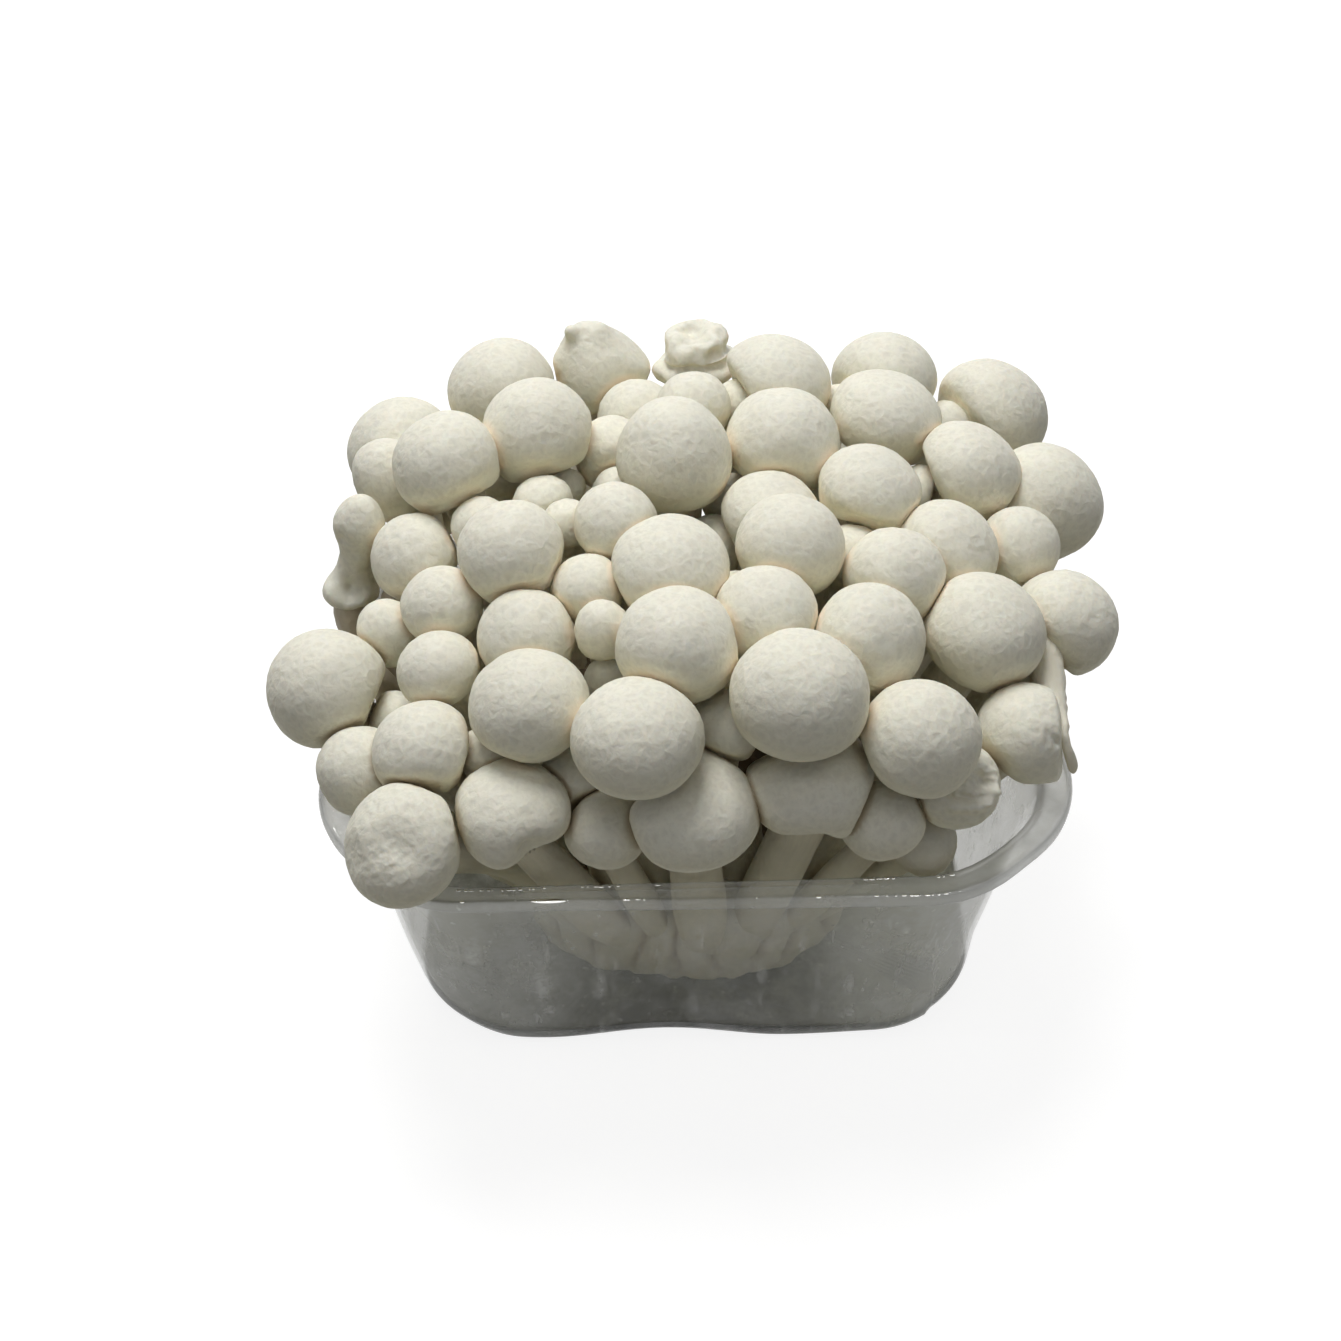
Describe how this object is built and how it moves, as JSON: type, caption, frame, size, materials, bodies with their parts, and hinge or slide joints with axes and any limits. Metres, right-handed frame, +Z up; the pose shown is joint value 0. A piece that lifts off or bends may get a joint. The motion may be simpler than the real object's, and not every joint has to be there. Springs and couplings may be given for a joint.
{
  "type": "white shimeji mushroom bunch",
  "caption": "Bunch of white shimeji mushrooms with round caps and leaning stems on one growing block, standing in a clear rounded plastic tray.",
  "frame": {"origin": "middle of the tray's flat underside", "axes": "+Z up, +X to the right along the tray's longer side, +Y towards the back"},
  "size_m": [0.1564, 0.1335, 0.1092],
  "materials": {
    "clear_plastic": "clear thin sheet plastic, glossy, lightly misted inside",
    "growing_block": "matte, lumpy, bound by white mycelium",
    "mushroom_flesh": "matte cream skin with a faint hammered mottling"
  },
  "bodies": {
    "root": {"clear_tray": "clear_plastic", "growing_block": "growing_block", "back_mushroom_1": "mushroom_flesh", "back_mushroom_2": "mushroom_flesh", "back_mushroom_3": "mushroom_flesh", "back_mushroom_4": "mushroom_flesh", "back_mushroom_5": "mushroom_flesh", "back_mushroom_6": "mushroom_flesh", "back_mushroom_7": "mushroom_flesh", "rear_mushroom_1": "mushroom_flesh", "rear_mushroom_2": "mushroom_flesh", "rear_mushroom_3": "mushroom_flesh", "rear_mushroom_4": "mushroom_flesh", "rear_mushroom_5": "mushroom_flesh", "rear_mushroom_6": "mushroom_flesh", "rear_mushroom_7": "mushroom_flesh", "rear_mushroom_8": "mushroom_flesh", "upper_mushroom_1": "mushroom_flesh", "upper_mushroom_2": "mushroom_flesh", "upper_mushroom_3": "mushroom_flesh", "upper_mushroom_4": "mushroom_flesh", "upper_mushroom_5": "mushroom_flesh", "middle_mushroom_1": "mushroom_flesh", "middle_mushroom_2": "mushroom_flesh", "middle_mushroom_3": "mushroom_flesh", "middle_mushroom_4": "mushroom_flesh", "middle_mushroom_5": "mushroom_flesh", "middle_mushroom_6": "mushroom_flesh", "middle_mushroom_7": "mushroom_flesh", "middle_mushroom_8": "mushroom_flesh", "middle_mushroom_9": "mushroom_flesh", "middle_mushroom_10": "mushroom_flesh", "lower_mushroom_1": "mushroom_flesh", "lower_mushroom_2": "mushroom_flesh", "lower_mushroom_3": "mushroom_flesh", "lower_mushroom_4": "mushroom_flesh", "lower_mushroom_5": "mushroom_flesh", "lower_mushroom_6": "mushroom_flesh", "lower_mushroom_7": "mushroom_flesh", "lower_mushroom_8": "mushroom_flesh", "front_mushroom_1": "mushroom_flesh", "front_mushroom_2": "mushroom_flesh", "front_mushroom_3": "mushroom_flesh", "front_mushroom_4": "mushroom_flesh", "front_mushroom_5": "mushroom_flesh", "front_mushroom_6": "mushroom_flesh", "front_mushroom_7": "mushroom_flesh", "front_mushroom_8": "mushroom_flesh", "front_mushroom_9": "mushroom_flesh", "edge_mushroom_1": "mushroom_flesh", "edge_mushroom_2": "mushroom_flesh", "edge_mushroom_3": "mushroom_flesh", "edge_mushroom_4": "mushroom_flesh", "edge_mushroom_5": "mushroom_flesh", "edge_mushroom_6": "mushroom_flesh", "edge_mushroom_7": "mushroom_flesh", "edge_mushroom_8": "mushroom_flesh", "low_back_mushroom_1": "mushroom_flesh", "low_back_mushroom_2": "mushroom_flesh", "low_back_mushroom_3": "mushroom_flesh"}
  },
  "joints": []
}
